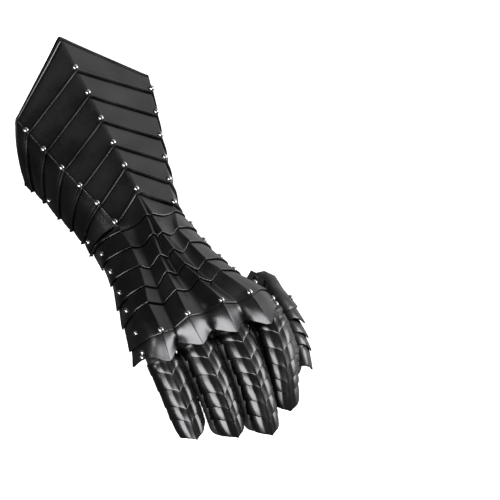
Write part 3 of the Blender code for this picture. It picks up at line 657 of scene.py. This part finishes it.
def keeled_plate(line, start, end, point, half_at, lift_at, pairs, edge, narrow=1.0, rivets=(),
                 start_point=0.0, lag=0.0, deep_at=None, rows=10):
    """A plate over a finger: the edge towards the tip runs out to a point on the keel."""
    curve = half_curve(pairs, SECTION_STEPS)
    shares = [(float(p[0]), float(p[1])) for p in curve]
    across = [(-x, z) for x, z in shares[:0:-1]] + shares
    xs, es = zip(*edge)
    outer, inner = [], []
    stops = [i / rows for i in range(rows + 1)]
    length = end - start
    back = [t / length for t, share in EDGE_PROFILE]
    stops = [s for s in stops if s < 1 - back[0] * EDGE_CLEAR] + [1 - b for b in back]
    thick = [1.0] * (len(stops) - len(back)) + [share for t, share in EDGE_PROFILE]
    under = [0.0] * (len(stops) - 2) + EDGE_UNDER
    for share, full, low in zip(stops, thick, under):
        out_row, in_row = [], []
        for x, z in across:
            e = float(np.interp(abs(x), xs, es))
            first = start - start_point * (1.0 - e)
            a = first + (end - point * (1.0 - e) - first) * share
            centre, _, side, up = line.frame(a)
            half = half_at(a) * (1.0 + (narrow - 1.0) * share ** 2)
            lean = unit(side * x + up * (SCALE_LEAN - abs(z)))
            deep = 1.0 if deep_at is None else deep_at(a)
            at = centre + side * (x * half) - up * (z * half * deep)
            lift = lift_at(a - first + lag * (1.0 - e)) * (1.0 - SIDE_CLOSE * x ** 4)
            free = max(share - SWELL_START, 0.0) / (1.0 - SWELL_START)
            lift += PLATE_SWELL * 4 * free * (1.0 - free) * math.sqrt(abs(x) * (1.0 - x * x) * SWELL_ACROSS)
            out_row.append(at + lean * (lift + STEEL * full))
            in_row.append(at + lean * (lift + STEEL * low))
        outer.append(out_row)
        inner.append(in_row)
    grid = np.array(outer + inner[::-1])
    rows_all, columns = grid.shape[:2]
    shape = Shape()
    shape.add(grid.reshape(-1, 3), [f[::-1] for f in loop_faces(rows_all, columns)])
    for a in rivets:
        centre, _, _, up = line.frame(a)
        dome(shape, centre + up * (lift_at(a - start) + STEEL), up)
    return shape


def scales(name, line, points, halves, first_start, cap_narrow=CAP_NARROW):
    """The row of plates along one finger; each runs over the next one."""
    starts = [first_start] + [p - SCALE_LAP for p in points[:-1]]
    slope = LAP_STEP / min(b - a for a, b in zip(starts, starts[1:]))
    out = {}

    def half_at(a):
        return halves[0] + (halves[1] - halves[0]) * min(max(a / line.length, 0.0), 1.0)

    for i, (start, end) in enumerate(zip(starts, points)):
        cap = i == len(points) - 1

        def lift_at(run):
            return slope * run

        label = "%s_cap" % name if cap else "%s_scale_%d" % (name, i + 1)
        out[label] = keeled_plate(line, start, end, CAP_POINT if cap else SCALE_POINT, half_at, lift_at,
                                  SCALE_SECTION, SCALE_EDGE, cap_narrow if cap else 1.0, (),
                                  SCALE_POINT if i else 0.0, 0.0 if i else SCALE_POINT)
    return out


def finger_plates():
    out = {}
    for name, root, turn, roll, bend_root, bend_tip, half_root, half_tip, shares in FINGERS:
        points = [p * FINGER_LENGTH for p in shares]
        halves = (half_root * KNUCKLE_HALF, half_tip * KNUCKLE_HALF)
        start = hand_place(*root) - (0.0, 0.0, PLATE_DROP)
        line = finger_line(start, turn, roll, bend_root, bend_tip, points[-1])
        out.update(scales(name, line, points, halves, FIRST_SCALE))
        LINES[name] = (line, halves)
    return out


def hinge_frame():
    """Centre of the hinge's pin, the way out to the thumb and the way that its plates rise."""

    def row(place):
        return ROWS[11] + (ROWS[12] - ROWS[11]) * (place - 11)

    low, high = row(HINGE_PLACE)[17], row(HINGE_PLACE)[16]
    down = unit(low - high)
    before, after = row(HINGE_PLACE - HINGE_SPAN)[17], row(HINGE_PLACE + HINGE_SPAN)[17]
    normal = unit(np.cross(down, unit(after - before)))
    if normal[0] < 0:
        normal = -normal
    axis = unit(np.cross(normal, down))
    lift = LAP_STEP * (HINGE_PLACE - 11 + HAND_LAP) + STEEL + GAP + LEAF_LIFT
    centre = low + down * HINGE_OUT + normal * (lift + STEEL / 2)
    aim = hand_place(*THUMB_LINE[0]) - centre
    out = unit(aim - axis * float(np.dot(aim, axis)))
    rise = unit(np.cross(axis, out))
    if rise[2] < 0:
        rise = -rise
    return centre, out, rise


def thumb_plates():
    centre, out, rise = hinge_frame()
    under = STEEL * 1.5 + GAP + BELL_UNDER
    first = centre + out * BELL_AWAY - rise * under
    drop = unit(THUMB_UP) * THUMB_DROP
    knuckle = hand_place(*THUMB_LINE[1]) - drop
    leave = unit(out + unit(knuckle - first))
    points = [first, first + leave * HINGE_LEAF] + [hand_place(*p) - drop for p in THUMB_LINE[1:]]
    thumb = Line(points, [rise, rise] + [unit(THUMB_UP)] * (len(points) - 2))
    bell_end = BELL_END * thumb.length
    places, wide, depths = zip(*BELL_WIDTHS)

    def bell_half(a):
        return float(np.interp(a / bell_end, places, wide)) * KNUCKLE_HALF

    def bell_deep(a):
        return float(np.interp(a / bell_end, places, depths))

    def bell_lift(run):
        return BELL_LIFT + BELL_LIFT_RISE * run / bell_end

    plates = {"thumb_bell": keeled_plate(thumb, 0.0, bell_end, BELL_POINT, bell_half, bell_lift,
                                         BELL_SECTION, BELL_EDGE, 1.0, [bell_end - BELL_RIVET],
                                         deep_at=bell_deep)}
    ends = [p * thumb.length for p in THUMB_POINTS]
    halves = (THUMB_HALF[0] * KNUCKLE_HALF, THUMB_HALF[1] * KNUCKLE_HALF)
    plates.update(scales("thumb", thumb, ends, halves, THUMB_FIRST * thumb.length, THUMB_NARROW))
    LINES["thumb"] = (thumb, halves)
    return plates


# The leather glove and the straps

def ring_points(centre, side, up, rx, rz, power=2.0, sides=FINGER_TUBE_SIDES):
    """A ring of points: an ellipse at power 2, squarer above it."""
    points = []
    for k in range(sides):
        angle = 2 * math.pi * k / sides
        c, s = math.cos(angle), math.sin(angle)
        x = math.copysign(abs(c) ** (2 / power), c) * rx
        z = math.copysign(abs(s) ** (2 / power), s) * rz
        points.append(centre + side * x + up * z)
    return points


def smooth_rings(rings, steps):
    """More rings on smooth curves through the given ones."""
    columns = [curve_through([ring[k] for ring in rings], steps) for k in range(len(rings[0]))]
    return np.array([[column[i] for column in columns] for i in range(len(columns[0]))])


def creased(rings, depth, step, turns=0.0):
    """Presses soft folds across a tube of leather."""
    out = rings.copy()
    place = 0.0
    for i in range(1, len(rings) - 1):
        place += float(np.linalg.norm(rings[i].mean(axis=0) - rings[i - 1].mean(axis=0)))
        centre = rings[i].mean(axis=0)
        for k in range(rings.shape[1]):
            angle = 2 * math.pi * k / rings.shape[1]
            wave = math.sin(2 * math.pi * place / step + 1.3 * math.sin(2 * angle + turns) + turns)
            fold = max(0.0, wave) ** 2 * (0.6 + 0.4 * math.sin(3 * angle + place / step))
            out[i, k] = rings[i, k] - unit(rings[i, k] - centre) * depth * fold
    return out


def sleeve(rings, inner=None):
    """A tube of leather, closed at its tip; the hand of the glove is open at the wrist, with an inside."""
    shape = Shape()
    grid = rings if inner is None else np.vstack([inner[::-1], rings])
    rows, sides = grid.shape[:2]
    faces = []
    for r in range(rows - 1):
        for k in range(sides):
            n = (k + 1) % sides
            faces.append((r * sides + k, r * sides + n, (r + 1) * sides + n, (r + 1) * sides + k))
    verts = list(grid.reshape(-1, 3))
    verts.append(grid[-1].mean(axis=0))
    last = (rows - 1) * sides
    faces += [(last + k, last + (k + 1) % sides, len(verts) - 1) for k in range(sides)]
    shape.add(verts, faces)
    return shape


def finger_leather(name, line, halves, back):
    """Rings of a glove finger under its keel line, with a rounded tip."""
    rings = []
    end = line.length + TIP_REACH.get(name, 0.0)
    low, high = FINGER_SIDES[name]
    wide, shift = (low + high) / 2, (high - low) / 2
    if back > 0:
        centre, forward, side, up = line.frame(0.0)
        level = unit(forward * (1.0, 1.0, 0.0))
        small = halves[0] * FINGER_BACK
        centre = centre - up * (halves[0] * FINGER_DEPTH) - level * back
        rings.append(ring_points(centre, side, np.array((0.0, 0.0, 1.0)), small, small))
    first = max(-back, 0.0)
    for i in range(FINGER_RINGS):
        a = first + (end - halves[1] - first) * i / (FINGER_RINGS - 1)
        half = halves[0] + (halves[1] - halves[0]) * min(max(a / line.length, 0.0), 1.0)
        centre, forward, side, up = line.frame(a)
        centre = centre - up * (half * FINGER_DEPTH) + side * (half * shift)
        rings.append(ring_points(centre, side, up, half * wide, half * FINGER_HEIGHT))
    tips = []
    for angle in TIP_ANGLES:
        reach = half * math.sin(math.radians(angle))
        small = math.cos(math.radians(angle)) ** TIP_POWER
        tips.append(ring_points(centre + forward * reach, side, up, half * wide * small,
                                half * FINGER_HEIGHT * small))
    return rings, tips


def hand_leather(thin):
    """Rings of the hand of the glove, from its open wrist to the finger roots."""
    sections = [(np.array((0.0, y * CUFF_LENGTH, up * CUFF_DEPTH)), wide * MOUTH_HALF, high * CUFF_DEPTH)
                for y, wide, up, high in GLOVE_WRIST]
    sections += [(hand_place(across, along, up), wide * KNUCKLE_HALF, high * KNUCKLE_RISE)
                 for along, across, up, wide, high in GLOVE_HAND]
    side, up = np.array((1.0, 0.0, 0.0)), np.array((0.0, 0.0, 1.0))
    rings = [ring_points(centre, side, up, wide - thin, high - thin, GLOVE_POWER, HAND_SIDES)
             for centre, wide, high in sections]
    return smooth_rings(rings, HAND_STEPS)


def glove_shapes():
    outer = hand_leather(0.0)
    inner = hand_leather(LEATHER)
    out = {"glove_hand": sleeve(creased(outer, FOLD_DEPTH, HAND_FOLD_STEP), inner[:-INSIDE_END])}
    for name, (line, halves) in LINES.items():
        rings, tips = finger_leather(name, line, halves, -THUMB_JOIN if name == "thumb" else FINGER_JOIN)
        if name == "thumb":
            side, up = line.frame(THUMB_JOIN)[2:]
            root = [ring_points(hand_place(across, along, height), side, up, radius * KNUCKLE_HALF,
                                radius * KNUCKLE_HALF) for across, along, height, radius in THUMB_ROOT]
            rings = root + rings
        body = creased(smooth_rings(rings, FINGER_STEPS), FOLD_DEPTH, FOLD_STEP, 0.7 * len(name))
        out["glove_" + name] = sleeve(np.vstack([body, np.array(tips)]))
    return out


def strap_shapes():
    out = {}
    inwards = np.array((TURN_IN, 0.0, -TURN_DOWN)) * STRAP_TURN
    down = np.array((0.0, 0.0, -1.0))
    for name, start, end in STRAPS:
        stops = [(start + t, sink) for t, sink in STRAP_EDGE]
        stops += [(end - t, sink) for t, sink in STRAP_EDGE[::-1]]
        grid = []
        for under in (False, True):
            part = []
            for s, sink in stops:
                points, normals = control_row(s)
                row = [points[2], points[1], points[1] + inwards]
                row += [points[17] + inwards * (-1, 1, 1), points[17], points[16]]
                corners = [unit(normals[i] + down) * STRAP_CORNER for i in (2, 16)]
                aims = [normals[2], corners[0], down, down, corners[1], normals[16]]
                depth = GAP + STRAP_THICK * ((1.0 - sink) if under else sink)
                part.append([p - n * depth for p, n in zip(row, aims)])
            grid.append(np.array(part))
        cells = np.vstack([grid[1], grid[0][::-1]])
        shape = Shape()
        shape.add(cells.reshape(-1, 3), loop_faces(cells.shape[0], cells.shape[1]))
        out[name] = shape
    return out


def control_row(s):
    """Control points of the section at seam place s, with their outward normals."""
    k = int(min(max(math.floor(s), 0), len(ROWS) - 2))
    here = ROWS[k] + (ROWS[k + 1] - ROWS[k]) * (s - k)
    along = ROWS[k + 1] - ROWS[k]
    normals = []
    for i in range(len(here)):
        before, after = here[max(i - 1, 0)], here[min(i + 1, len(here) - 1)]
        normals.append(unit(np.cross(after - before, -along[i])))
    return here, np.array(normals)


# Materials

def principled(name):
    mat = bpy.data.materials.new(name)
    mat.use_nodes = True
    return mat, mat.node_tree.nodes, mat.node_tree.links, mat.node_tree.nodes["Principled BSDF"]


def steel_material(name, color, rough, dent_scale, dent, scratch):
    """Blackened steel: soft dents, fine scratches and clouds in its gloss."""
    mat, nodes, links, shader = principled(name)
    shader.inputs["Metallic"].default_value = 1.0
    place = nodes.new("ShaderNodeTexCoord")
    clouds = nodes.new("ShaderNodeTexNoise")
    clouds.inputs["Scale"].default_value = 38.0
    clouds.inputs["Detail"].default_value = 5.0
    tone = nodes.new("ShaderNodeValToRGB")
    tone.color_ramp.elements[0].position = 0.30
    tone.color_ramp.elements[0].color = (*[c * 0.82 for c in color], 1.0)
    tone.color_ramp.elements[1].position = 0.75
    tone.color_ramp.elements[1].color = (*[c * 1.18 for c in color], 1.0)
    gloss = nodes.new("ShaderNodeMapRange")
    gloss.inputs["From Min"].default_value = 0.3
    gloss.inputs["From Max"].default_value = 0.75
    gloss.inputs["To Min"].default_value = rough * 0.8
    gloss.inputs["To Max"].default_value = rough * 1.35
    dents = nodes.new("ShaderNodeTexNoise")
    dents.inputs["Scale"].default_value = dent_scale
    dents.inputs["Detail"].default_value = 1.0
    stretch = nodes.new("ShaderNodeMapping")
    stretch.inputs["Scale"].default_value = (1.0, 14.0, 1.0)
    stretch.inputs["Rotation"].default_value = (0.2, 0.1, 0.9)
    lines = nodes.new("ShaderNodeTexNoise")
    lines.inputs["Scale"].default_value = 260.0
    lines.inputs["Detail"].default_value = 3.0
    first = nodes.new("ShaderNodeBump")
    first.inputs["Distance"].default_value = 0.0006
    first.inputs["Strength"].default_value = dent
    second = nodes.new("ShaderNodeBump")
    second.inputs["Distance"].default_value = 0.00006
    second.inputs["Strength"].default_value = scratch
    links.new(place.outputs["Object"], clouds.inputs["Vector"])
    links.new(place.outputs["Object"], dents.inputs["Vector"])
    links.new(place.outputs["Object"], stretch.inputs["Vector"])
    links.new(stretch.outputs["Vector"], lines.inputs["Vector"])
    links.new(clouds.outputs["Fac"], tone.inputs["Fac"])
    links.new(tone.outputs["Color"], shader.inputs["Base Color"])
    links.new(clouds.outputs["Fac"], gloss.inputs["Value"])
    links.new(gloss.outputs["Result"], shader.inputs["Roughness"])
    links.new(dents.outputs["Fac"], first.inputs["Height"])
    links.new(lines.outputs["Fac"], second.inputs["Height"])
    links.new(first.outputs["Normal"], second.inputs["Normal"])
    links.new(second.outputs["Normal"], shader.inputs["Normal"])
    return mat


def leather_material(name, color, rough, scale):
    """Black leather: a fine pebbled grain with soft creases."""
    mat, nodes, links, shader = principled(name)
    place = nodes.new("ShaderNodeTexCoord")
    grain = nodes.new("ShaderNodeTexVoronoi")
    grain.inputs["Scale"].default_value = scale
    folds = nodes.new("ShaderNodeTexNoise")
    folds.inputs["Scale"].default_value = 90.0
    folds.inputs["Detail"].default_value = 6.0
    tone = nodes.new("ShaderNodeValToRGB")
    tone.color_ramp.elements[0].color = (*[c * 0.6 for c in color], 1.0)
    tone.color_ramp.elements[1].color = (*[c * 1.5 for c in color], 1.0)
    shine = nodes.new("ShaderNodeMapRange")
    shine.inputs["To Min"].default_value = rough * 0.8
    shine.inputs["To Max"].default_value = rough * 1.25
    first = nodes.new("ShaderNodeBump")
    first.inputs["Distance"].default_value = 0.0004
    first.inputs["Strength"].default_value = 0.5
    second = nodes.new("ShaderNodeBump")
    second.inputs["Distance"].default_value = 0.00012
    second.inputs["Strength"].default_value = 0.7
    links.new(place.outputs["Object"], grain.inputs["Vector"])
    links.new(place.outputs["Object"], folds.inputs["Vector"])
    links.new(folds.outputs["Fac"], tone.inputs["Fac"])
    links.new(tone.outputs["Color"], shader.inputs["Base Color"])
    links.new(folds.outputs["Fac"], shine.inputs["Value"])
    links.new(shine.outputs["Result"], shader.inputs["Roughness"])
    links.new(folds.outputs["Fac"], first.inputs["Height"])
    links.new(grain.outputs["Distance"], second.inputs["Height"])
    links.new(first.outputs["Normal"], second.inputs["Normal"])
    links.new(second.outputs["Normal"], shader.inputs["Normal"])
    return mat


STEEL_MAT = steel_material("black_steel", (0.062, 0.062, 0.064), 0.27, 60.0, 0.10, 0.35)
RIVET_MAT = steel_material("rivet_steel", (0.42, 0.42, 0.43), 0.13, 200.0, 0.02, 0.1)
LEATHER_MAT = leather_material("glove_leather", (0.012, 0.012, 0.012), 0.45, 1400.0)
STRAP_MAT = leather_material("strap_leather", (0.014, 0.013, 0.012), 0.5, 900.0)


# The pieces

LINES = {}
lowest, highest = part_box("hinge_pin")
SHIFT = (np.array(lowest) + np.array(highest)) / 2 - hinge_frame()[0]


def place_plates(plates):
    for node, shape in plates.items():
        piece = shape.build("plate_" + node, [STEEL_MAT, RIVET_MAT])
        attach(piece, "root")
        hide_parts(node)


place_plates(cuff_plates())
place_plates(hand_plates())
place_plates(finger_plates())
place_plates(thumb_plates())
for label, node in frame["nodes"].items():
    if label.startswith("hinge"):
        node.data.materials.clear()
        node.data.materials.append(STEEL_MAT)
        bevel = node.modifiers.new("edges", "BEVEL")
        bevel.width = 0.0002
        bevel.segments = 2
for label, shape in glove_shapes().items():
    piece = shape.build("leather_" + label[6:], [LEATHER_MAT], smooth_angle=180.0)
    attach(piece, "root")
    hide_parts(label)
for label, shape in strap_shapes().items():
    piece = shape.build("leather_" + label, [STRAP_MAT])
    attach(piece, "root")
    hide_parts(label)


# Floor, light and camera

def floor():
    mesh = bpy.data.meshes.new("floor")
    size = 6.0
    corners = [(-size, -size, 0), (size, -size, 0), (size, size, 0), (-size, size, 0)]
    mesh.from_pydata(corners, [], [(0, 1, 2, 3)])
    obj = bpy.data.objects.new("floor", mesh)
    bpy.context.collection.objects.link(obj)
    mat, _, _, shader = principled("floor_paper")
    shader.inputs["Base Color"].default_value = (0.9, 0.9, 0.9, 1.0)
    shader.inputs["Roughness"].default_value = 0.9
    shader.inputs["Emission Color"].default_value = (1.0, 1.0, 1.0, 1.0)
    shader.inputs["Emission Strength"].default_value = 0.95
    mesh.materials.append(mat)
    obj.visible_glossy = False


RIGHT = PICTURE_RIGHT.normalized()
UP = (PICTURE_UP - RIGHT * PICTURE_UP.dot(RIGHT)).normalized()
BACK = RIGHT.cross(UP)
TARGET = Vector(SHIFT)


def soft_box(name, to_right, to_up, to_viewer, size, radiance, distance=1.6):
    """A panel light that faces the gauntlet; its place is given in the picture's own directions."""
    away = (RIGHT * to_right + UP * to_up + BACK * to_viewer).normalized()
    light = bpy.data.lights.new(name, "AREA")
    light.shape = "RECTANGLE"
    light.size, light.size_y = size
    light.energy = radiance * math.pi * size[0] * size[1]
    obj = bpy.data.objects.new(name, light)
    bpy.context.collection.objects.link(obj)
    obj.location = TARGET + away * distance
    obj.rotation_euler = (-away).to_track_quat("-Z", "Y").to_euler()


def world(stops):
    """A room that is light on one side: brightness by the cosine to the light side."""
    scene_world = bpy.data.worlds.new("room")
    bpy.context.scene.world = scene_world
    scene_world.use_nodes = True
    nodes, links = scene_world.node_tree.nodes, scene_world.node_tree.links
    place = nodes.new("ShaderNodeTexCoord")
    side = nodes.new("ShaderNodeVectorMath")
    side.operation = "DOT_PRODUCT"
    side.inputs[1].default_value = LIGHT_SIDE
    ramp = nodes.new("ShaderNodeValToRGB")
    ramp.color_ramp.elements.remove(ramp.color_ramp.elements[1])
    for i, (cosine, value) in enumerate(stops):
        position = (cosine + 1) / 2
        element = ramp.color_ramp.elements[0] if i == 0 else ramp.color_ramp.elements.new(position)
        element.position = position
        element.color = (value, value, value, 1.0)
    spread = nodes.new("ShaderNodeMapRange")
    spread.inputs["From Min"].default_value = -1.0
    links.new(place.outputs["Generated"], side.inputs[0])
    links.new(side.outputs["Value"], spread.inputs["Value"])
    links.new(spread.outputs["Result"], ramp.inputs["Fac"])
    links.new(ramp.outputs["Color"], nodes["Background"].inputs["Color"])
    nodes["Background"].inputs["Strength"].default_value = 1.0


LIGHT_SIDE = (RIGHT * 0.80 + UP * 0.52 - BACK * 0.28).normalized()

floor()
world([(-1.0, 0.08), (0.35, 0.12), (0.66, 0.5), (0.86, 1.0)])
soft_box("light_key", -0.25, -0.42, 0.86, (1.3, 1.0), 10.0)
soft_box("light_right", 0.95, 0.18, 0.12, (0.9, 0.9), 9.0)
soft_box("light_left", -0.86, 0.02, 0.50, (0.20, 0.5), 14.0)
soft_box("light_top", 0.02, 0.85, 0.52, (0.45, 0.18), 1.6)

camera_data = bpy.data.cameras.new("camera")
camera = bpy.data.objects.new("camera", camera_data)
bpy.context.collection.objects.link(camera)
camera_data.sensor_width = 36.0
camera_data.lens = camera_data.sensor_width * CAMERA_AWAY / PICTURE_SIZE
camera_data.clip_end = 50.0
aim = TARGET + RIGHT * PICTURE_MIDDLE[0] + UP * PICTURE_MIDDLE[1]
turned = Matrix((RIGHT, UP, BACK)).transposed().to_4x4()
camera.matrix_world = Matrix.Translation(aim + BACK * CAMERA_AWAY) @ turned
bpy.context.scene.camera = camera
bpy.context.scene.view_settings.view_transform = "Standard"
